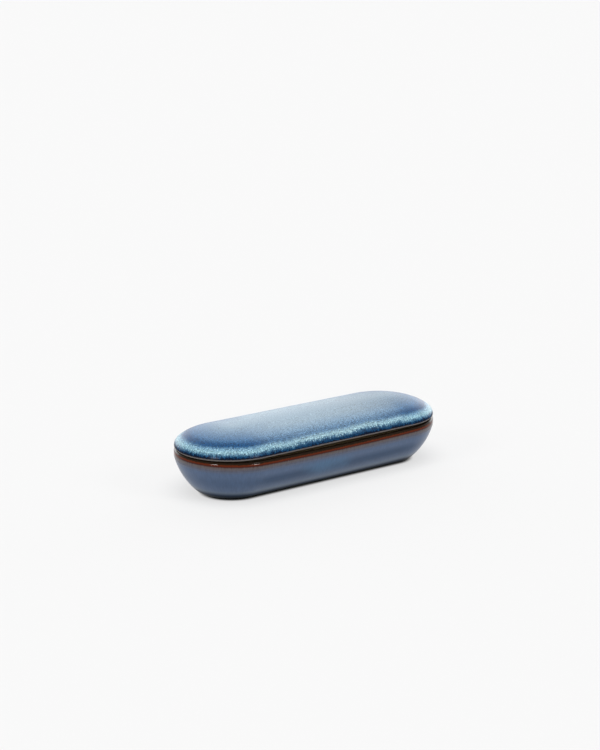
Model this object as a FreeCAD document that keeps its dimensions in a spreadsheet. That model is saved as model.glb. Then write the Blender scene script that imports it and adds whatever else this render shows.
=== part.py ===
import FreeCAD, Part
import math
import os

import Sketcher
from FreeCAD import Vector

# A long lidded box of glazed stoneware, in millimetres, +Z up. Seen from above both pieces are a
# rectangle with round ends. The origin is on the table, under the middle of the box, and the long
# side lies along X. The base is a boat-shaped tray whose lip sags a little towards the middle of its
# long sides. The lid is a low dome that rests on the two ends of that lip, with a flange below it
# that stands inside the tray. Each piece is one section, pushed along the straight part and turned
# half round at each end.

SIZES = {
    # plan of both pieces: the spacing of the two end axes, then distances out from those axes
    "end_spacing": 139.0,
    "rim_radius": 40.7,
    "foot_radius": 20.0,
    "foot_ring": 3.6,
    "lid_radius": 40.5,
    # heights above the table
    "foot_rise": 0.8,
    "floor_top": 5.6,
    "band_low": 28.4,
    "lip_low": 30.9,
    "seat_height": 33.0,
    "blank_top": 36.0,
    # base wall
    "wall": 4.8,
    "shoulder_round": 8.0,
    "shoulder_turn": 15.5,
    "side_round": 50.0,
    "heel_round": 8.0,
    "floor_round": 10.0,
    "lip_round": 2.2,
    "lip_sweep": 2778.0,
    # lid
    "lid_top": 48.1,
    "lid_edge_round": 1.6,
    "dome_edge_round": 5.6,
    "dome_edge_turn": 53.0,
    "dome_side_round": 34.5,
    "hollow_edge_round": 4.0,
    "hollow_edge_turn": 47.5,
    "hollow_side_round": 18.7,
    "crown": 4.6,
    "hollow_step": 0.5,
    "flange_gap": 1.5,
    "flange_wall": 3.4,
    "flange_drop": 4.2,
    "flange_round": 1.2,
}
FLANGE_OUT = "rim_radius - wall - flange_gap"
FLANGE_IN = FLANGE_OUT + " - flange_wall"
FLANGE_LOW = "seat_height - flange_drop"
SHEET = "Sizes"
OUT_FOLDER = "parts"
START, END, CENTRE = 1, 2, 3  # how a sketch counts the points of a line or an arc
ORIGIN = (-1, 1)
H_AXIS, V_AXIS = -1, -2

doc = FreeCAD.newDocument("lidded_box")


def make_sheet():
    """Put the driving dimensions in a spreadsheet, one named cell each."""
    sheet = doc.addObject("Spreadsheet::Sheet", SHEET)
    for row, (name, number) in enumerate(SIZES.items(), start=1):
        sheet.set(f"A{row}", name)
        sheet.set(f"B{row}", str(number))
        sheet.setAlias(f"B{row}", name)
    doc.recompute()


def cell(formula):
    """Turn a sum of named sizes into an expression on the sheet."""
    return " ".join(f"{SHEET}.{word}" if word in SIZES else word for word in formula.split())


def value(formula):
    """Work the same sum out, for a sketch's first drawing."""
    total, sign = 0.0, 1.0
    for word in formula.split():
        if word in "+-":
            sign = 1.0 if word == "+" else -1.0
        else:
            total += sign * (SIZES[word] if word in SIZES else float(word))
    return total


def origin_plane(body, role):
    return next(plane for plane in body.Origin.OriginFeatures if plane.Role == role)


class Outline:
    """A closed outline in a sketch: out from the end axis, and up from the table."""

    def __init__(self, body, name, plane):
        self.sketch = body.newObject("Sketcher::SketchObject", name)
        self.sketch.AttachmentSupport = (origin_plane(body, plane), [""])
        self.sketch.MapMode = "FlatFace"

    def rule(self, kind, *where):
        self.sketch.addConstraint(Sketcher.Constraint(kind, *where))

    def bind(self, kind, *where, to):
        """Add a dimension and tie it to the sheet."""
        index = self.sketch.addConstraint(Sketcher.Constraint(kind, *where))
        self.sketch.setExpression(f"Constraints[{index}]", to)

    def place(self, geometry, point, out=None, up=None):
        """Hold a point at a distance out, at a height, or both."""
        for formula, kind, axis in ((out, "DistanceX", V_AXIS), (up, "DistanceY", H_AXIS)):
            if formula == "0":
                self.rule("PointOnObject", geometry, point, axis)
            elif formula:
                self.bind(kind, *ORIGIN, geometry, point, value(formula), to=cell(formula))

    def size(self, arc, formula):
        self.bind("Radius", arc, value(formula), to=cell(formula))

    def line(self, start, end):
        return self.sketch.addGeometry(Part.LineSegment(Vector(*start), Vector(*end)), False)

    def chain(self, places, first, last):
        """Draw lines through places given as formulas, from one drawn point to another."""
        points = [(value(out), value(up)) for out, up in places]
        lines = [self.line(a, b) for a, b in zip(points, points[1:])]
        self.rule("Coincident", *first, lines[0], START)
        for before, after, place in zip(lines, lines[1:], places[1:]):
            self.rule("Coincident", before, END, after, START)
            self.place(after, START, *place)
        self.rule("Coincident", lines[-1], END, *last)

    def arc(self, centre, radius, first, last):
        """Draw an arc, counter-clockwise from one angle in degrees to the other."""
        circle = Part.Circle(Vector(*centre), Vector(0, 0, 1), radius)
        drawn = Part.ArcOfCircle(circle, math.radians(first), math.radians(last))
        return self.sketch.addGeometry(drawn, False)

    def quarter(self, out, up, radius, side):
        """Round an outside corner at the bottom, on its right or left side."""
        first = -90 if side == "right" else 180
        low, level = (START, END) if side == "right" else (END, START)
        arc = self.arc((value(out), value(up)), value(radius), first, first + 90)
        self.place(arc, CENTRE, out, up)
        self.size(arc, radius)
        self.rule("Vertical", arc, low, arc, CENTRE)
        self.rule("Horizontal", arc, level, arc, CENTRE)
        return arc

    def dome(self, half_width, up, names, top, start):
        """Draw a dome in three tangent arcs, from a drawn upright to its top on the end axis.

        names are the sizes of the first arc's radius and turn, and of the second arc's radius.
        """
        tight, turn, middle = (SIZES[name] for name in names)
        lean = Vector(math.cos(math.radians(turn)), math.sin(math.radians(turn)))
        tight_centre = Vector(value(half_width) - tight, value(up))
        middle_centre = tight_centre - lean * (middle - tight)
        drop = middle_centre.y - value(top)
        crown = (middle**2 - middle_centre.x**2 - drop**2) / (2 * (drop + middle))
        crown_centre = Vector(0, value(top) - crown)
        high_turn = math.degrees((middle_centre - crown_centre).getAngle(Vector(1, 0)))

        edge = self.arc(tight_centre, tight, 0, turn)
        shoulder = self.arc(middle_centre, middle, turn, high_turn)
        crest = self.arc(crown_centre, crown, high_turn, 90)
        self.size(edge, names[0])
        self.bind("Angle", edge, math.radians(turn), to=f"{SHEET}.{names[1]} * 1 deg")
        self.size(shoulder, names[2])
        self.rule("Tangent", edge, START, *start)
        self.rule("Tangent", shoulder, START, edge, END)
        self.rule("Tangent", crest, START, shoulder, END)
        self.place(crest, CENTRE, "0")
        self.place(crest, END, "0", top)
        return crest


def wall_face(outline, inset, last_round, level_end, level):
    """Draw an upright band, three tangent arcs below it and the level line that they meet.

    inset says how far the face lies inside the outer face, as the rest of a formula.
    """
    turn = SIZES["shoulder_turn"]
    face, shoulder, side = (value(name + inset) for name in ("rim_radius", "shoulder_round", "side_round"))
    last = value(last_round)
    upper_centre = Vector(face - shoulder, SIZES["band_low"])
    lean = Vector(math.cos(math.radians(turn)), -math.sin(math.radians(turn)))
    middle_centre = upper_centre - lean * (side - shoulder)
    drop = middle_centre.y - value(level) - last
    lower_centre = middle_centre + Vector(math.sqrt((side - last) ** 2 - drop**2), -drop)
    low_turn = math.degrees(math.asin(drop / (side - last)))

    band = outline.line((face, SIZES["band_low"]), (face, SIZES["blank_top"]))
    upper = outline.arc(upper_centre, shoulder, -turn, 0)
    middle = outline.arc(middle_centre, side, -low_turn, -turn)
    lower = outline.arc(lower_centre, last, -90, -low_turn)
    flat = outline.line((value(level_end), value(level)), (lower_centre.x, value(level)))

    outline.place(band, START, "rim_radius" + inset, "band_low")
    outline.rule("Vertical", band)
    outline.place(band, END, None, "blank_top")
    outline.place(flat, START, level_end, level)
    outline.rule("Horizontal", flat)
    outline.size(upper, "shoulder_round" + inset)
    outline.size(middle, "side_round" + inset)
    outline.size(lower, last_round)
    outline.bind("Angle", upper, math.radians(turn), to=f"{SHEET}.shoulder_turn * 1 deg")
    outline.rule("Tangent", upper, END, band, START)
    outline.rule("Tangent", middle, END, upper, START)
    outline.rule("Tangent", lower, END, middle, START)
    outline.rule("Tangent", flat, END, lower, START)
    return (band, END), (flat, START)


def base_section(outline):
    """Draw half of the base: foot ring, curved wall with an upright band on top, and floor."""
    outer_top, outer_low = wall_face(outline, "", "heel_round", "foot_radius", "foot_rise")
    inner_top, inner_low = wall_face(outline, " - wall", "floor_round", "0", "floor_top")
    outline.chain(
        [("rim_radius", "blank_top"), ("rim_radius - wall", "blank_top")],
        outer_top,
        inner_top,
    )
    ring_inside = "foot_radius - foot_ring"
    outline.chain(
        [
            ("foot_radius", "foot_rise"),
            ("foot_radius", "0"),
            (ring_inside, "0"),
            (ring_inside, "foot_rise"),
            ("0", "foot_rise"),
            ("0", "floor_top"),
        ],
        outer_low,
        inner_low,
    )


def lid_section(outline):
    """Draw half of the lid: dome, rounded edge, seat and flange."""
    edge_out, edge_up = "lid_radius - lid_edge_round", "seat_height + lid_edge_round"
    turn_up = FLANGE_LOW + " + flange_round"
    hollow_up = "seat_height + hollow_step"
    edge = outline.quarter(edge_out, edge_up, "lid_edge_round", "right")
    outer = outline.quarter(FLANGE_OUT + " - flange_round", turn_up, "flange_round", "right")
    inner = outline.quarter(FLANGE_IN + " + flange_round", turn_up, "flange_round", "left")
    inside = outline.line((value(FLANGE_IN), value(turn_up)), (value(FLANGE_IN), value(hollow_up)))
    outline.rule("Coincident", inner, START, inside, START)
    outline.place(inside, END, FLANGE_IN, hollow_up)
    dome = outline.dome(
        "lid_radius",
        edge_up,
        ("dome_edge_round", "dome_edge_turn", "dome_side_round"),
        "lid_top",
        (edge, END),
    )
    hollow = outline.dome(
        FLANGE_IN,
        hollow_up,
        ("hollow_edge_round", "hollow_edge_turn", "hollow_side_round"),
        "lid_top - crown",
        (inside, END),
    )
    outline.chain(
        [(edge_out, "seat_height"), (FLANGE_OUT, "seat_height"), (FLANGE_OUT, turn_up)],
        (edge, START),
        (outer, END),
    )
    outline.chain(
        [(FLANGE_OUT + " - flange_round", FLANGE_LOW), (FLANGE_IN + " + flange_round", FLANGE_LOW)],
        (outer, START),
        (inner, END),
    )
    outline.chain([("0", "lid_top - crown"), ("0", "lid_top")], (hollow, END), (dome, END))


def mirror(body, feature, plane):
    """Add a feature's mirror image to the body."""
    image = body.newObject("PartDesign::Mirrored", feature.Name + "_mirrored")
    image.Originals = [feature]
    image.MirrorPlane = (origin_plane(body, plane), [""])
    body.Tip = image
    doc.recompute()


def make_body(label, draw_section):
    """Push a half section along the straight part, and turn it half round at both ends."""
    body = doc.addObject("PartDesign::Body", label)
    body.Label = label

    straight = Outline(body, label + "_straight_section", "YZ_Plane")
    draw_section(straight)
    middle = body.newObject("PartDesign::Pad", label + "_middle")
    middle.Profile = straight.sketch
    middle.SideType = "Symmetric"
    middle.setExpression("Length", cell("end_spacing"))
    doc.recompute()
    mirror(body, middle, "XZ_Plane")

    turned = Outline(body, label + "_end_section", "XZ_Plane")
    turned.sketch.setExpression("AttachmentOffset.Base.x", cell("end_spacing") + " / 2")
    draw_section(turned)
    end = body.newObject("PartDesign::Revolution", label + "_end")
    end.Profile = turned.sketch
    end.ReferenceAxis = (turned.sketch, ["V_Axis"])
    end.Angle = 180
    end.Midplane = True
    doc.recompute()
    mirror(body, end, "YZ_Plane")
    return body


def trim_lip(body):
    """Cut the wall's top along a long shallow arc, so that the lip sags between its ends."""
    uncut = body.Shape.Volume
    trim = Outline(body, "lip_line", "XZ_Plane")
    sweep, centre = SIZES["lip_sweep"], value("lip_low + lip_sweep")
    reach, above = SIZES["end_spacing"], value("blank_top + wall")
    half_turn = math.asin(reach / sweep)
    corner = centre - sweep * math.cos(half_turn)
    lip = trim.arc((0, centre), sweep, -90 - math.degrees(half_turn), -90 + math.degrees(half_turn))
    right = trim.line((reach, corner), (reach, above))
    top = trim.line((reach, above), (-reach, above))
    left = trim.line((-reach, above), (-reach, corner))
    trim.place(lip, CENTRE, "0", "lip_low + lip_sweep")
    trim.size(lip, "lip_sweep")
    trim.place(lip, END, "end_spacing")
    trim.rule("Horizontal", lip, START, lip, END)
    trim.rule("Coincident", lip, END, right, START)
    trim.rule("Vertical", right)
    trim.rule("Coincident", right, END, top, START)
    trim.place(top, START, None, "blank_top + wall")
    trim.rule("Horizontal", top)
    trim.rule("Coincident", top, END, left, START)
    trim.rule("Vertical", left)
    trim.rule("Coincident", left, END, lip, START)
    cut = body.newObject("PartDesign::Pocket", "lip_cut")
    cut.Profile = trim.sketch
    cut.SideType = "Symmetric"
    cut.setExpression("Length", "4 * " + cell("rim_radius"))
    doc.recompute()
    if cut.Shape.Volume >= uncut:
        raise RuntimeError("the lip cut removes nothing")
    return cut


def round_lip(body, cut):
    """Round both edges of the lip."""
    below_lip = SIZES["lip_low"] - SIZES["foot_rise"]
    edges = [
        f"Edge{number}"
        for number, edge in enumerate(cut.Shape.Edges, start=1)
        if edge.BoundBox.ZMin > below_lip
    ]
    rounding = body.newObject("PartDesign::Fillet", "lip_rounding")
    rounding.Base = (cut, edges)
    rounding.setExpression("Radius", cell("lip_round"))
    doc.recompute()


def check_and_export(bodies):
    """Write each piece's shape, once every object of the document is sound."""
    for item in doc.Objects:
        if "Invalid" in item.State or "Error" in item.State:
            raise RuntimeError(f"{item.Name} failed: {item.State}")
    os.makedirs(OUT_FOLDER, exist_ok=True)
    for body in bodies:
        shape = body.Shape
        if shape.isNull() or not shape.isValid() or len(shape.Solids) != 1:
            raise RuntimeError(f"{body.Label} is not one valid solid")
        shape.exportStep(f"{OUT_FOLDER}/{body.Label}.step")
        print(f"{body.Label}: {shape.Volume / 1000:.1f} cm3")


make_sheet()
base = make_body("base", base_section)
round_lip(base, trim_lip(base))
lid = make_body("lid", lid_section)
check_and_export([base, lid])
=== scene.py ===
import math

import bmesh
import bpy
import numpy as np
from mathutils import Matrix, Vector, noise


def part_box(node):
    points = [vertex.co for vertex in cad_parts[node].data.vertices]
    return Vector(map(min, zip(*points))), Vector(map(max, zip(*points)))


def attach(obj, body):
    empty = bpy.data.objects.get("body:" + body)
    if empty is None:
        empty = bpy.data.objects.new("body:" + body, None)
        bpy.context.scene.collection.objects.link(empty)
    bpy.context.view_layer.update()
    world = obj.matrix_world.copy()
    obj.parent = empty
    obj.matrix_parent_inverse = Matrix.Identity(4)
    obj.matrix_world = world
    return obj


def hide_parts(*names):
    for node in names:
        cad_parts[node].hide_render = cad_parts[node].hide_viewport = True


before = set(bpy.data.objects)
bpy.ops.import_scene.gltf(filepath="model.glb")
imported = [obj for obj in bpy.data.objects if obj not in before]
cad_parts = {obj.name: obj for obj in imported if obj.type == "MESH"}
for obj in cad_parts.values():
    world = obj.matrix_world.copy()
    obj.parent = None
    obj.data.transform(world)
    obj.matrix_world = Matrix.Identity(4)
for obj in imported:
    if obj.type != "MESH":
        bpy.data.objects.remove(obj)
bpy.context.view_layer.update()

# A long lidded stoneware box, in metres. Each of its two pieces is one section carried round a
# track: two straight sides joined by two half circles. A section point is its distance out from
# the track's centre line and its height.

MM = 0.001
_, base_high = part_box("base")
_, lid_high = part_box("lid")
RIM_OUT = base_high.y
END_X = base_high.x - base_high.y  # where the half circles are centred
LID_OUT = lid_high.y
LID_TOP = lid_high.z

# The base's section
WALL = 4.8 * MM
BAND_LOW = 28.4 * MM
LIP_LOW = 30.9 * MM
LIP_ROUND = 2.2 * MM
LIP_SWEEP = 2.778  # the radius of the long arc that the lip follows
FOOT_OUT = 20.0 * MM
FOOT_RING = 3.6 * MM
FOOT_RISE = 0.8 * MM
FOOT_EDGE = 0.3 * MM
FLOOR_TOP = 5.6 * MM
SHOULDER_ROUND = 8.0 * MM
SHOULDER_TURN = math.radians(15.5)
SIDE_ROUND = 50.0 * MM
HEEL_ROUND = 8.0 * MM
FLOOR_ROUND = 10.0 * MM

# The lid's section
SEAT = 33.0 * MM
EDGE_ROUND = 1.6 * MM
DOME_EDGE, DOME_TURN, DOME_SIDE = 5.6 * MM, math.radians(53.0), 34.5 * MM
HOLLOW_EDGE, HOLLOW_TURN, HOLLOW_SIDE = 4.0 * MM, math.radians(47.5), 18.7 * MM
HOLLOW_LOW = SEAT + 0.5 * MM
HOLLOW_TOP = LID_TOP - 4.6 * MM
FLANGE_OUT = RIM_OUT - WALL - 1.5 * MM
FLANGE_IN = FLANGE_OUT - 3.4 * MM
FLANGE_LOW = SEAT - 4.2 * MM
FLANGE_ROUND = 1.2 * MM
ROOT_ROUND = 0.5 * MM

# Mesh spacing along the track, and across it on tight and on wide curves
STEP = 1.4 * MM
FINE = 0.35 * MM
COARSE = 1.1 * MM
GUARD = 0.25 * MM  # a flat's last points stand this close to its ends, to keep it flat

SAME = 0.02 * MM  # section points closer than this are one point
MEETING = 0.001 * MM  # mesh points closer than this are one point

UNEVEN = 0.14 * MM  # the most that a hand-finished face stands back from its true curve
UNEVEN_LENGTH = 26.0 * MM
STANDING = 2.0 * MM  # below this height faces run true down to the table


# --- sections ------------------------------------------------------------------------------------


def arc(centre, radius, first, last, spacing):
    """Points along an arc, between two angles in radians."""
    count = max(3, math.ceil(abs(last - first) * radius / spacing))
    turns = np.linspace(first, last, count + 1)
    return [(centre[0] + radius * math.cos(t), centre[1] + radius * math.sin(t)) for t in turns]


def line(start, end, spacing):
    """Points along a flat, with one close to each end."""
    length = math.dist(start, end)
    shares = list(np.linspace(0, 1, max(1, math.ceil(length / spacing)) + 1))
    if length > 4 * GUARD:
        shares = sorted(set(shares) | {GUARD / length, 1 - GUARD / length})
    return [
        (start[0] + (end[0] - start[0]) * share, start[1] + (end[1] - start[1]) * share)
        for share in shares
    ]


def joined(*stretches):
    """Run stretches together, dropping points that repeat."""
    points = []
    for stretch in stretches:
        for point in stretch:
            if not points or math.dist(points[-1], point) > SAME:
                points.append(point)
    return points


def wall_face(inset, last_round, level):
    """A wall face from its level foot up to its band: three tangent arcs."""
    shoulder, side = SHOULDER_ROUND - inset, SIDE_ROUND - inset
    upper = (RIM_OUT - inset - shoulder, BAND_LOW)
    middle = (
        upper[0] - (side - shoulder) * math.cos(SHOULDER_TURN),
        upper[1] + (side - shoulder) * math.sin(SHOULDER_TURN),
    )
    drop = middle[1] - level - last_round
    low_turn = math.asin(drop / (side - last_round))
    lower = (middle[0] + (side - last_round) * math.cos(low_turn), level + last_round)
    return joined(
        arc(lower, last_round, -math.pi / 2, -low_turn, COARSE),
        arc(middle, side, -low_turn, -SHOULDER_TURN, COARSE),
        arc(upper, shoulder, -SHOULDER_TURN, 0, COARSE),
    )


def dome(half_width, up, tight, turn, side, top):
    """A dome from its widest point up to its top: three tangent arcs."""
    edge = (half_width - tight, up)
    shoulder = (
        edge[0] - (side - tight) * math.cos(turn),
        edge[1] - (side - tight) * math.sin(turn),
    )
    drop = shoulder[1] - top
    crown = (side**2 - shoulder[0] ** 2 - drop**2) / (2 * (drop + side))
    crest = (0, top - crown)
    high_turn = math.atan2(shoulder[1] - crest[1], shoulder[0])
    return joined(
        arc(edge, tight, 0, turn, FINE),
        arc(shoulder, side, turn, high_turn, COARSE),
        arc(crest, crown, high_turn, math.pi / 2, COARSE),
    )


def rounded_lip():
    """The lip from outside to inside, at its lowest."""
    level = LIP_LOW - LIP_ROUND
    return joined(
        arc((RIM_OUT - LIP_ROUND, level), LIP_ROUND, 0, math.pi / 2, FINE / 2),
        arc((RIM_OUT - WALL + LIP_ROUND, level), LIP_ROUND, math.pi / 2, math.pi, FINE / 2),
    )


def foot():
    """The base's underside from the middle out, with the ring that it stands on."""
    ring_in = FOOT_OUT - FOOT_RING
    return joined(
        line((0, FOOT_RISE), (ring_in - FOOT_EDGE, FOOT_RISE), 2 * COARSE),
        arc((ring_in - FOOT_EDGE, FOOT_RISE - FOOT_EDGE), FOOT_EDGE, math.pi / 2, 0, FINE),
        arc((ring_in + FOOT_EDGE, FOOT_EDGE), FOOT_EDGE, math.pi, 1.5 * math.pi, FINE),
        arc((FOOT_OUT - FOOT_EDGE, FOOT_EDGE), FOOT_EDGE, -math.pi / 2, 0, FINE),
        [(FOOT_OUT, FOOT_RISE)],
    )


def flange():
    """The lid's flange, from its hollow side down, round its end and up to the seat."""
    low = FLANGE_LOW + FLANGE_ROUND
    root = (FLANGE_OUT + ROOT_ROUND, SEAT - ROOT_ROUND)
    return joined(
        line((FLANGE_IN, HOLLOW_LOW), (FLANGE_IN, low), COARSE),
        arc((FLANGE_IN + FLANGE_ROUND, low), FLANGE_ROUND, math.pi, 1.5 * math.pi, FINE),
        arc((FLANGE_OUT - FLANGE_ROUND, low), FLANGE_ROUND, -math.pi / 2, 0, FINE),
        line((FLANGE_OUT, low), (FLANGE_OUT, root[1]), COARSE),
        arc(root, ROOT_ROUND, math.pi, math.pi / 2, FINE / 2),
    )


def lengths(points):
    """The distance along a run of points, from its first."""
    steps = [math.dist(a, b) for a, b in zip(points, points[1:])]
    return np.concatenate([[0.0], np.cumsum(steps)])


def base_section():
    """The base from under its middle, round the outside, over the lip and in to its floor.

    Gives the points, which of them follow the lip's height, and each one's reach: how far along
    the surface it lies from the lip's crest, with the inside counted below zero.
    """
    outside = joined(foot(), wall_face(0, HEEL_ROUND, FOOT_RISE))
    inside = wall_face(WALL, FLOOR_ROUND, FLOOR_TOP)[::-1]
    inside = joined(inside, line(inside[-1], (0, FLOOR_TOP), 2 * COARSE))
    lip = rounded_lip()
    along = lengths(outside + lip + inside)
    crest = along[len(outside)] + lengths(lip)[-1] / 2
    follows = [0] * len(outside) + [1] * len(lip) + [0] * len(inside)
    return outside + lip + inside, follows, crest - along


def lid_section():
    """The lid from under its middle, round the flange and the edge, and over the dome.

    Its reach is measured from the widest point of the edge, with the underside below zero.
    """
    edge = (LID_OUT - EDGE_ROUND, SEAT + EDGE_ROUND)
    under = joined(
        dome(FLANGE_IN, HOLLOW_LOW, HOLLOW_EDGE, HOLLOW_TURN, HOLLOW_SIDE, HOLLOW_TOP)[::-1],
        flange(),
        line((FLANGE_OUT + ROOT_ROUND, SEAT), (edge[0], SEAT), COARSE),
        arc(edge, EDGE_ROUND, -math.pi / 2, 0, FINE / 2),
    )
    over = dome(LID_OUT, edge[1], DOME_EDGE, DOME_TURN, DOME_SIDE, LID_TOP)
    section = joined(under, over)
    return section, [0] * len(section), lengths(section) - lengths(under)[-1]


# --- meshes --------------------------------------------------------------------------------------


def track():
    """Stations round the plan: a centre along X, and the direction out from it, as columns."""
    along = np.linspace(-END_X, END_X, math.ceil(2 * END_X / STEP) + 1)[:-1]
    turns = np.radians(np.linspace(-90, 90, math.ceil(math.pi * RIM_OUT / STEP) + 1)[:-1])
    straight = np.stack([along, 0 * along, 0 * along - 1])
    end = np.stack([0 * turns + END_X, np.cos(turns), np.sin(turns)])
    half = np.hstack([straight, end])
    return np.hstack([half, -half])


def lip_rise(x):
    """How far the lip stands above its lowest point."""
    return x**2 / (2 * LIP_SWEEP)


def facing(section):
    """The direction that each point of a section faces, out of the clay."""
    slope = np.gradient(section, axis=0)
    normal = np.stack([slope[:, 1], -slope[:, 0]], axis=1)
    return normal / np.linalg.norm(normal, axis=1, keepdims=True)


def unevenness(point):
    """How far a face stands back here: from none to UNEVEN, and none where the box stands."""
    swell = 0.5 + 0.5 * noise.noise(Vector(point) / UNEVEN_LENGTH)
    return UNEVEN * min(max(swell, 0.0), 1.0) * min(point[2] / STANDING, 1.0)


def sweep(name, section, follows, reach):
    """Carry a section round the track, as a closed smooth mesh.

    Each mesh point keeps its reach, in millimetres, and its flow: the place on the rim that it is
    in line with, with its reach as the third number.
    """
    section = np.array(section)
    follows, reach = np.array(follows)[:, None], reach[:, None]
    centre, out_x, out_y = track()
    out, up = section[:, :1], section[:, 1:]
    x, y = centre + out * out_x, out * out_y
    z = up + follows * lip_rise(x)
    if follows.any():
        reach = reach + (1 - follows) * np.sign(reach) * lip_rise(x)
    points = np.stack([x, y, z], axis=-1)
    reach = np.broadcast_to(reach, x.shape)
    flow = np.stack([centre + RIM_OUT * out_x + 0 * x, RIM_OUT * out_y + 0 * x, reach], axis=-1)

    normal = facing(section)
    level, rise = normal[:, :1], normal[:, 1:]
    normals = np.stack([level * out_x, level * out_y, rise + 0 * x], axis=-1)
    back = np.array([unevenness(point) for point in points.reshape(-1, 3)])
    points = points.reshape(-1, 3) - back[:, None] * normals.reshape(-1, 3)

    rows, columns = x.shape
    faces = [
        (
            row * columns + column,
            row * columns + (column + 1) % columns,
            (row + 1) * columns + (column + 1) % columns,
            (row + 1) * columns + column,
        )
        for row in range(rows - 1)
        for column in range(columns)
    ]
    mesh = bpy.data.meshes.new(name)
    mesh.from_pydata(points.tolist(), [], faces)
    reach_kept = mesh.attributes.new("reach", "FLOAT", "POINT")
    reach_kept.data.foreach_set("value", (reach / MM).ravel())
    flow_kept = mesh.attributes.new("flow", "FLOAT_VECTOR", "POINT")
    flow_kept.data.foreach_set("vector", flow.ravel())
    close_middle(mesh)
    mesh.shade_smooth()
    piece = bpy.data.objects.new(name, mesh)
    bpy.context.scene.collection.objects.link(piece)
    return piece


def close_middle(mesh):
    """Merge the points that meet along the middle of a swept mesh, and face it outwards."""
    work = bmesh.new()
    work.from_mesh(mesh)
    bmesh.ops.remove_doubles(work, verts=work.verts, dist=MEETING)
    bmesh.ops.recalc_face_normals(work, faces=work.faces)
    work.to_mesh(mesh)
    work.free()


# --- materials -----------------------------------------------------------------------------------

# Colours, as the share of red, green and blue light that each scatters back. The lid's are in
# order from its edge to its crown, where glaze is thin along the middle and pools at the ends.
BARE_CLAY = (0.155, 0.140, 0.132)
INK = (0.003, 0.007, 0.020)
NAVY = (0.005, 0.034, 0.085)
DEEP_BLUE = (0.030, 0.100, 0.172)
FOAM = (0.190, 0.305, 0.360)
THIN_HOLLOW = (0.060, 0.124, 0.207)
THIN_BLUE = (0.104, 0.180, 0.262)
THIN_CROWN = (0.164, 0.233, 0.292)
END_FOAM = (0.155, 0.290, 0.355)
END_BLUE = (0.080, 0.180, 0.275)
POOL = (0.000, 0.039, 0.114)
POOL_BLUE = (0.026, 0.088, 0.183)
POOL_CROWN = (0.152, 0.222, 0.282)
FLECK = (0.420, 0.590, 0.600)

# The base's, from its lip to its foot
# The lip's crest is painted near black: painted shade under the lid's edge, and a painted
# reflection of the lid's dark underside.
LIP_PAINTED_SHADE = (0.014, 0.008, 0.004)
BROWN = (0.092, 0.013, 0.001)
RED_BLACK = (0.036, 0.005, 0.002)
SMOKE = (0.088, 0.073, 0.075)
SLATE = (0.066, 0.104, 0.184)
LIGHT_SLATE = (0.050, 0.122, 0.225)
DARK_SLATE = (0.016, 0.046, 0.106)
HEEL_SLATE = (0.056, 0.092, 0.162)
FOOT_GREY = (0.072, 0.108, 0.165)
# Near black towards the foot: on the heel a painted contact shadow, on the foot partly the dark
# foot and partly a painted contact shadow.
HEEL_PAINTED_SHADOW = (0.010, 0.022, 0.045)
FOOT_DARK_AND_PAINTED_SHADOW = (0.004, 0.010, 0.018)
OLIVE = (0.150, 0.108, 0.058)  # a thin wash of glaze on the lid's flange

# Zones of glaze, as (reach in millimetres, colour), each going evenly over into the next
LID_EDGE = [(-1.4, BARE_CLAY), (-0.5, BARE_CLAY), (0.1, INK), (1.0, INK)]
LID_THIN = [
    (2.9, NAVY),
    (4.1, DEEP_BLUE),
    (6.1, FOAM),
    (6.8, FOAM),
    (10.5, THIN_HOLLOW),
    (12.5, THIN_HOLLOW),
    (17, THIN_BLUE),
    (28, THIN_CROWN),
    (44, THIN_CROWN),
]
LID_THICK = [
    (1.8, NAVY),
    (2.7, DEEP_BLUE),
    (4.6, END_FOAM),
    (5.4, END_FOAM),
    (8.0, END_BLUE),
    (10.9, POOL),
    (13.3, POOL),
    (17.5, POOL_BLUE),
    (44, POOL_CROWN),
]
LID_UNDER = [
    (-60, SLATE),
    (-30, SLATE),
    (-22, BROWN),
    (-12, OLIVE),
    (-7.4, OLIVE),
    (-6.8, BARE_CLAY),
]
BASE_OUTSIDE = [
    # The lip's crest, to 2.8 mm out, is painted shade and reflection.
    (-3.0, LIP_PAINTED_SHADE),
    (2.8, LIP_PAINTED_SHADE),
    (3.4, BROWN),
    (4.0, BROWN),
    (4.6, RED_BLACK),
    (5.6, SMOKE),
    (6.0, SMOKE),
    (10.5, SLATE),
    (13, SLATE),
    (18, DARK_SLATE),
    (21, DARK_SLATE),
    (26.5, HEEL_SLATE),
    (28.8, FOOT_GREY),
    # From here the heel goes near black: painted contact shadow, and on the foot partly a dark
    # foot.
    (32.8, HEEL_PAINTED_SHADOW),
    (34.6, FOOT_DARK_AND_PAINTED_SHADOW),
]
BASE_INSIDE = [
    (-60, LIGHT_SLATE),
    (-36, SLATE),
    (-26, DARK_SLATE),
    (-12, RED_BLACK),
    # The inner side of the crest is painted shade too.
    (-4, LIP_PAINTED_SHADE),
]

# How wide the marks in a glaze are, and how long those are that run down the piece
HAIR, HAIR_LONG = 0.7 * MM, 2.2 * MM
STREAK, STREAK_LONG = 2.0 * MM, 6.0 * MM
BASE_STREAK, BASE_STREAK_LONG = 1.2 * MM, 5.0 * MM
GRAIN = 0.8 * MM
LID_CLOUD = 24 * MM
BASE_CLOUD = 26 * MM

# How far the marks shift a glaze's zones to either side, in millimetres of reach
HAIR_SHIFT = GRAIN_SHIFT = 1.1
STREAK_SHIFT = CLOUD_SHIFT = 1.6
EDGE_SHIFT = 0.5
BASE_SHIFT = 0.4

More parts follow.
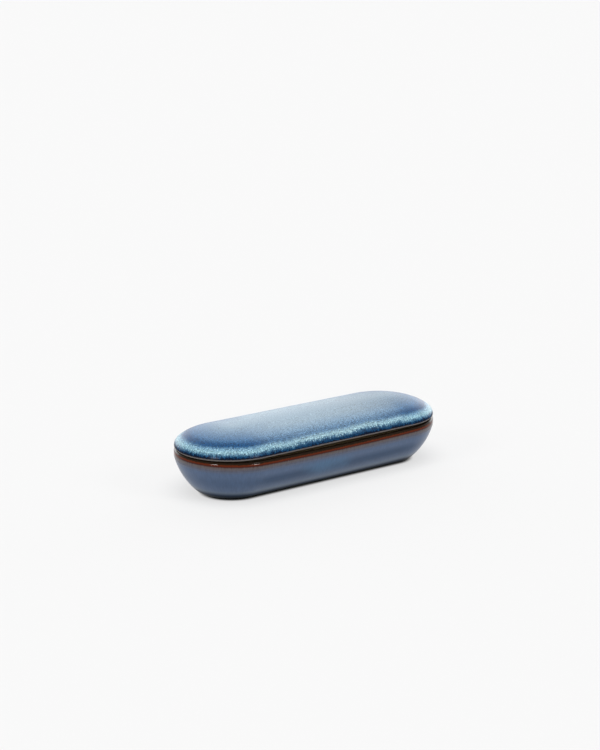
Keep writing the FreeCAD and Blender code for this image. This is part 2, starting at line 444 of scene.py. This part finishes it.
# Spans for Surface.eased, as (low, high) or as (low, high, start, end). These follow the reach,
# in millimetres. The lid's:
HAIRS_TO_GRAINS = (0, 10, 0.35, 1.0)
UNDER_TO_EDGE = (-1.6, -1.4)
EDGE_TO_GLAZE = (0.6, 1.4)
FOAM_BEGINS, FOAM_ENDS = (3.0, 5.5), (10.5, 7.0)
SPECKLE = (8, 26, 1.8, 0.95)
DARKER_BEGINS = (14, 28)
LID_ROUGHNESS = (0.0, 4.0, 0.16, 0.38)
LID_MIRROR = (1.0, 3.5, 0.02, 0.25)
# The base's:
WALL_BEGINS, WALL_ENDS = (9, 14), (30, 25)
LIP_FROM_INSIDE = (-4.0, -3.0)
LIP_TO_WALL = (3.8, 6.0)
INSIDE_FROM_LIP = (-4, -9)
WALL_ROUGHNESS = (4, 9, 0.07, 0.28)
LIP_MIRROR = (-5, -2.5, 0.0, 0.10)
WALL_MIRROR = (29, 33, 0.25, 0.03)
INSIDE_ROUGHNESS = 0.42

# Spans that follow the distance along the box from its middle, in metres
LID_ENDS, LID_ENDS_SHIFT = (0.034, 0.078), 20 * MM
BASE_ENDS = (0.058, 0.086, 0.0, 0.7)
DARKER_ALONG_X = (-0.02, 0.06, 0.0, -0.16)  # the lid's colour is made darker towards +X

# Spans that follow a mark's strength
FLECKS = (0.55, 0.72, 0.0, 0.75)
BASE_STREAKS = (0.3, 0.7, 0.94, 1.06)
PATCH, PATCH_SHIFT = (0.15, 1.1, 0.0, 0.85), 0.7

THIN_PATCH = (-0.010, -0.038, 0.018)  # where the base's glaze is thinnest
THIN_PATCH_SIZE = (0.034, 0.034, 0.020)
LID_RELIEF = 0.04 * MM
BASE_RELIEF = 0.03 * MM


class Surface:
    """A material's node tree, built up one value at a time."""

    def __init__(self, name):
        self.material = bpy.data.materials.new(name)
        self.material.use_nodes = True
        self.tree = self.material.node_tree
        self.tree.nodes.clear()

    def node(self, kind, inputs, output=0, **settings):
        """Add a node and give one of its outputs. An input is another output, or what to set."""
        made = self.tree.nodes.new("ShaderNode" + kind)
        for setting, choice in settings.items():
            setattr(made, setting, choice)
        for place, source in inputs.items():
            socket = made.inputs[place]
            if isinstance(source, bpy.types.NodeSocket):
                self.tree.links.new(source, socket)
            else:
                socket.default_value = (*source, 1.0) if socket.type == "RGBA" else source
        return made.outputs[output]

    def kept(self, name, output="Fac"):
        """A value that the mesh keeps at each point."""
        return self.node("Attribute", {}, output, attribute_name=name)

    def place(self):
        return self.node("TexCoord", {}, "Object")

    def sums(self, operation, *values):
        return self.node("Math", dict(enumerate(values)), operation=operation)

    def swing(self, share, size):
        """Turn a noise of 0 to 1 into a shift to either side, so many units at the most."""
        return self.sums("MULTIPLY_ADD", share, 2 * size, -size)

    def spots(self, vector, across, along=None):
        """Measure a vector in spots that are so wide, and so long on its third number."""
        scale = (1 / across, 1 / across, 1 / (along or across))
        return self.node("VectorMath", {0: vector, 1: scale}, operation="MULTIPLY")

    def cloud(self, vector, detail=2.0, roughness=0.5):
        """Soft noise from 0 to 1, whose spots are about one unit of the vector across."""
        inputs = {"Vector": vector, "Scale": 1.0, "Detail": detail, "Roughness": roughness}
        return self.node("TexNoise", inputs, "Fac")

    def eased(self, value, low, high, start=0.0, end=1.0):
        """Go smoothly from start to end, as a value goes from low to high."""
        inputs = {"Value": value, "From Min": low, "From Max": high, "To Min": start, "To Max": end}
        return self.node("MapRange", inputs, interpolation_type="SMOOTHSTEP")

    def zones(self, value, stops):
        """Colours along a value, from (value, colour) stops, going evenly from each to the next."""
        low, high = stops[0][0], stops[-1][0]
        share = self.node("MapRange", {"Value": value, "From Min": low, "From Max": high})
        ramp = self.tree.nodes.new("ShaderNodeValToRGB")
        ramp.color_ramp.interpolation = "LINEAR"
        elements = ramp.color_ramp.elements
        for at, _ in stops[1:-1]:
            elements.new((at - low) / (high - low))
        for element, (_, colour) in zip(elements, stops):
            element.color = (*colour, 1.0)
        self.tree.links.new(share, ramp.inputs["Fac"])
        return ramp.outputs["Color"]

    def mixed(self, share, first, second):
        """A share of the second colour over the first."""
        return self.node("Mix", {0: share, 6: first, 7: second}, 2, data_type="RGBA")

    def blended(self, share, first, second):
        """A share of the second number over the first."""
        return self.node("Mix", {0: share, 2: first, 3: second}, 0, data_type="FLOAT")

    def near(self, vector, centre, size):
        """From 1 at a centre to 0 at its size away, along each number."""
        scale = [1 / number for number in size]
        shrunk = self.node("VectorMath", {0: vector, 1: scale}, operation="MULTIPLY")
        middle = [number * share for number, share in zip(centre, scale)]
        away = self.node("VectorMath", {0: shrunk, 1: middle}, "Value", operation="DISTANCE")
        return self.eased(away, 1.0, 0.0)

    def scaled(self, colour, scale):
        """A colour made so many times as bright."""
        return self.node("VectorMath", {0: colour, 3: scale}, operation="SCALE")

    def close(self, colour, roughness, mirror, height, depth):
        """Finish with one glaze or clay shader. Its fine relief is so deep, in metres."""
        relief = self.node("Bump", {"Strength": 1.0, "Distance": depth, "Height": height}, "Normal")
        return self.shade(
            {
                "Base Color": colour,
                "Roughness": roughness,
                "Specular IOR Level": mirror,
                "Normal": relief,
            }
        )

    def shade(self, inputs):
        shader = self.node("BsdfPrincipled", inputs)
        out = self.tree.nodes.new("ShaderNodeOutputMaterial")
        self.tree.links.new(shader, out.inputs["Surface"])
        return self.material


def lid_over(glaze, reach, run, along, ends, fur, grains):
    """The lid's colour over its dome: its zones, then its speckle, then pale flecks in the foam."""
    colour = glaze.mixed(ends, glaze.zones(run, LID_THIN), glaze.zones(run, LID_THICK))
    speckle = glaze.sums("MULTIPLY", glaze.swing(fur, 1.0), glaze.eased(reach, *SPECKLE))
    darker = glaze.eased(along, *DARKER_ALONG_X)
    darker = glaze.sums("MULTIPLY", darker, glaze.eased(reach, *DARKER_BEGINS))
    scale = glaze.sums("ADD", glaze.sums("ADD", speckle, darker), 1.0)
    colour = glaze.scaled(colour, scale)
    foam = glaze.sums("MULTIPLY", glaze.eased(run, *FOAM_BEGINS), glaze.eased(run, *FOAM_ENDS))
    flecks = glaze.sums("MULTIPLY", glaze.eased(grains, *FLECKS), foam)
    return glaze.mixed(flecks, colour, FLECK)


def lid_glaze():
    """Blue glaze in fine streaks, foaming to turquoise over the shoulder and navy at the edge."""
    glaze = Surface("lid_reactive_glaze")
    reach, flow, place = glaze.kept("reach"), glaze.kept("flow", "Vector"), glaze.place()
    hairs = glaze.cloud(glaze.spots(flow, HAIR, HAIR_LONG), detail=1.0)
    streaks = glaze.cloud(glaze.spots(flow, STREAK, STREAK_LONG), detail=1.0)
    grains = glaze.cloud(glaze.spots(place, GRAIN), detail=1.0)
    broad = glaze.cloud(glaze.spots(place, LID_CLOUD))
    fur = glaze.blended(glaze.eased(reach, *HAIRS_TO_GRAINS), hairs, grains)

    run = reach
    marks = (
        (hairs, HAIR_SHIFT),
        (grains, GRAIN_SHIFT),
        (streaks, STREAK_SHIFT),
        (broad, CLOUD_SHIFT),
    )
    for share, shift in marks:
        run = glaze.sums("ADD", run, glaze.swing(share, shift))
    along = glaze.node("SeparateXYZ", {0: place})
    length = glaze.sums("ADD", glaze.sums("ABSOLUTE", along), glaze.swing(broad, LID_ENDS_SHIFT))
    ends = glaze.eased(length, *LID_ENDS)
    over = lid_over(glaze, reach, run, along, ends, fur, grains)
    edge = glaze.zones(glaze.sums("ADD", reach, glaze.swing(hairs, EDGE_SHIFT)), LID_EDGE)
    colour = glaze.mixed(glaze.eased(run, *EDGE_TO_GLAZE), edge, over)
    under = glaze.zones(reach, LID_UNDER)
    colour = glaze.mixed(glaze.eased(reach, *UNDER_TO_EDGE), under, colour)
    roughness = glaze.eased(reach, *LID_ROUGHNESS)
    mirror = glaze.eased(reach, *LID_MIRROR)
    return glaze.close(colour, roughness, mirror, fur, LID_RELIEF)


def base_wall(glaze, reach, place, outside):
    """The base's outside with its wall lighter where the glaze is thin, and plainer at the ends."""
    clouds = glaze.cloud(glaze.spots(place, BASE_CLOUD), detail=3.0)
    wall = glaze.sums("MULTIPLY", glaze.eased(reach, *WALL_BEGINS), glaze.eased(reach, *WALL_ENDS))
    patch = glaze.near(place, THIN_PATCH, THIN_PATCH_SIZE)
    patch = glaze.sums("ADD", patch, glaze.swing(clouds, PATCH_SHIFT))
    light = glaze.sums("MULTIPLY", glaze.eased(patch, *PATCH), wall)
    length = glaze.sums("ABSOLUTE", glaze.node("SeparateXYZ", {0: place}))
    ends = glaze.sums("MULTIPLY", glaze.eased(length, *BASE_ENDS), wall)
    colour = glaze.mixed(light, outside, LIGHT_SLATE)
    return glaze.mixed(ends, colour, SLATE)


def base_glaze():
    """Slate blue glaze in soft clouds, which thins to brown over the lip."""
    glaze = Surface("base_reactive_glaze")
    reach, flow, place = glaze.kept("reach"), glaze.kept("flow", "Vector"), glaze.place()
    streaks = glaze.cloud(glaze.spots(flow, BASE_STREAK, BASE_STREAK_LONG), detail=1.0)
    run = glaze.sums("ADD", reach, glaze.swing(streaks, BASE_SHIFT))
    colour = base_wall(glaze, reach, place, glaze.zones(run, BASE_OUTSIDE))
    colour = glaze.scaled(colour, glaze.eased(streaks, *BASE_STREAKS))
    inside = glaze.zones(reach, BASE_INSIDE)
    colour = glaze.mixed(glaze.eased(reach, *LIP_FROM_INSIDE), inside, colour)

    outside_roughness = glaze.eased(reach, *WALL_ROUGHNESS)
    inward = glaze.eased(reach, *INSIDE_FROM_LIP)
    roughness = glaze.blended(inward, outside_roughness, INSIDE_ROUGHNESS)
    lip_mirror, wall_mirror = glaze.eased(reach, *LIP_MIRROR), glaze.eased(reach, *WALL_MIRROR)
    mirror = glaze.blended(glaze.eased(reach, *LIP_TO_WALL), lip_mirror, wall_mirror)
    return glaze.close(colour, roughness, mirror, streaks, BASE_RELIEF)


# --- the box -------------------------------------------------------------------------------------


def make_piece(name, section, glaze, node):
    piece = sweep(name, *section)
    piece.data.materials.append(glaze)
    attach(piece, node)
    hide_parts(node)
    return piece


make_piece("tray_base", base_section(), base_glaze(), "base")
make_piece("domed_lid", lid_section(), lid_glaze(), "lid")


# --- surroundings --------------------------------------------------------------------------------

CAMERA_PLACE = (-0.7864, -1.0052, 0.3945)
CAMERA_LOOK = (0.594, 0.766, -0.243)
LENS, SENSOR = 86.4, 36.0  # millimetres
SEEN_FROM, SEEN_TO = 0.05, 100.0

FLOOR_HALF = 30.0
TABLE_WHITE = (0.165, 0.165, 0.165)
TABLE_ROUGHNESS = 0.9
TABLE_GLOW = 0.65
# The glow begins and is full at these distances from the track, shifted towards the camera's side
# The unlit strip inside these distances is a painted contact shadow.
GLOW_BEGINS, GLOW_FULL = FOOT_OUT + 0.5 * MM, FOOT_OUT + 5.5 * MM
GLOW_SHIFT = 1.6 * MM

ROOM_WHITE = (1.0, 1.0, 1.0)
BACKDROP = 0.939  # as bright as the table, so that neither ends at a line
# The room's strength, by how nearly a direction is where the camera looks, and then by its height
ROOM_AHEAD = (0.1, 0.95, 0.45, 1.6)
ROOM_HEIGHT = (0.02, 0.30, 1.6, 1.0)

# Lamps, as the azimuth and elevation where each stands, its strength, how wide it looks, whether
# it lights what it falls on, and whether it shows in glaze. Angles are in degrees.
LAMPS = {
    "overhead_lamp": (-128, 78, 2.8, 50, True, False),
    "soft_lamp_left": (180, 30, 0.7, 16, True, False),
    "soft_lamp_right": (-66, 30, 0.7, 16, True, False),
    "gleam_left": (-158, 3, 6.0, 16, False, True),
    "gleam_right": (-75, 4, 3.0, 16, False, True),
    "gleam_front": (-52, 50, 0.25, 10, False, True),
    "rim_lamp_left": (88, 7, 0.4, 36, True, True),
    "rim_lamp_right": (24, 7, 0.5, 36, True, True),
}


def make_floor():
    """A pale table that glows a little, so that the box's shadow stays light.

    It doesn't glow under the foot nor in a narrow strip round it, where the box meets the table.
    """
    mesh = bpy.data.meshes.new("floor")
    corners = [(-1, -1), (1, -1), (1, 1), (-1, 1)]
    mesh.from_pydata([(FLOOR_HALF * x, FLOOR_HALF * y, 0) for x, y in corners], [], [(0, 1, 2, 3)])
    floor = bpy.data.objects.new("floor", mesh)
    bpy.context.scene.collection.objects.link(floor)
    paint = Surface("glowing_table_with_painted_shadow")
    place = paint.place()
    along = paint.sums("ABSOLUTE", paint.node("SeparateXYZ", {0: place}, "X"))
    beyond = paint.sums("MAXIMUM", paint.sums("SUBTRACT", along, END_X), 0.0)
    across = paint.node("SeparateXYZ", {0: place}, "Y")
    across = paint.sums("ADD", across, GLOW_SHIFT)
    away = paint.node("CombineXYZ", {0: beyond, 1: across})
    away = paint.node("VectorMath", {0: away}, "Value", operation="LENGTH")
    inputs = {
        "Base Color": TABLE_WHITE,
        "Roughness": TABLE_ROUGHNESS,
        "Specular IOR Level": 0.0,
        "Emission Color": ROOM_WHITE,
        # The glow is painted light; where it is cut off round the foot it leaves a painted contact
        # shadow.
        "Emission Strength": paint.eased(away, GLOW_BEGINS, GLOW_FULL, 0.0, TABLE_GLOW),
    }
    mesh.materials.append(paint.shade(inputs))


def make_world():
    """A plain white backdrop, in a room that lights the box and is mirrored in its glaze.

    The room is dim round the camera, bright beyond the box, and brightest at its horizon.
    """
    world = bpy.data.worlds.new("studio")
    world.use_nodes = True
    tree = world.node_tree
    direction = tree.nodes.new("ShaderNodeTexCoord").outputs["Generated"]
    ahead = tree.nodes.new("ShaderNodeVectorMath")
    ahead.operation = "DOT_PRODUCT"
    ahead.inputs[1].default_value = Vector((CAMERA_LOOK[0], CAMERA_LOOK[1], 0)).normalized()
    tree.links.new(direction, ahead.inputs[0])
    height = tree.nodes.new("ShaderNodeSeparateXYZ")
    tree.links.new(direction, height.inputs[0])
    strength = tree.nodes.new("ShaderNodeMath")
    strength.operation = "MULTIPLY"
    spans = [(ahead.outputs["Value"], ROOM_AHEAD), (height.outputs["Z"], ROOM_HEIGHT)]
    for place, (value, span) in enumerate(spans):
        ease = tree.nodes.new("ShaderNodeMapRange")
        ease.interpolation_type = "SMOOTHSTEP"
        tree.links.new(value, ease.inputs["Value"])
        for socket, number in zip(("From Min", "From Max", "To Min", "To Max"), span):
            ease.inputs[socket].default_value = number
        tree.links.new(ease.outputs["Result"], strength.inputs[place])
    plain = tree.nodes.new("ShaderNodeMix")
    tree.links.new(tree.nodes.new("ShaderNodeLightPath").outputs["Is Camera Ray"], plain.inputs[0])
    tree.links.new(strength.outputs["Value"], plain.inputs[2])
    plain.inputs[3].default_value = BACKDROP
    background = tree.nodes["Background"]
    background.inputs["Color"].default_value = (*ROOM_WHITE, 1.0)
    tree.links.new(plain.outputs[0], background.inputs["Strength"])
    bpy.context.scene.world = world


def make_lamp(name, azimuth, elevation, strength, width, lights, mirrored):
    """A far soft lamp."""
    lamp = bpy.data.lights.new(name, "SUN")
    lamp.energy = strength
    lamp.angle = math.radians(width)
    holder = bpy.data.objects.new(name, lamp)
    turn, rise = math.radians(azimuth), math.radians(elevation)
    level = math.cos(rise)
    towards = Vector((math.cos(turn) * level, math.sin(turn) * level, math.sin(rise)))
    holder.rotation_mode = "QUATERNION"
    holder.rotation_quaternion = towards.to_track_quat("Z", "Y")
    holder.location = towards
    holder.visible_diffuse, holder.visible_glossy = lights, mirrored
    bpy.context.scene.collection.objects.link(holder)


def make_camera():
    lens = bpy.data.cameras.new("camera")
    lens.lens, lens.sensor_width = LENS, SENSOR
    lens.clip_start, lens.clip_end = SEEN_FROM, SEEN_TO
    camera = bpy.data.objects.new("camera", lens)
    camera.location = CAMERA_PLACE
    camera.rotation_mode = "QUATERNION"
    camera.rotation_quaternion = Vector(CAMERA_LOOK).to_track_quat("-Z", "Y")
    bpy.context.scene.collection.objects.link(camera)
    bpy.context.scene.camera = camera


make_floor()
make_world()
for lamp_name, lamp_facts in LAMPS.items():
    make_lamp(lamp_name, *lamp_facts)
make_camera()
bpy.context.scene.view_settings.view_transform = "Standard"
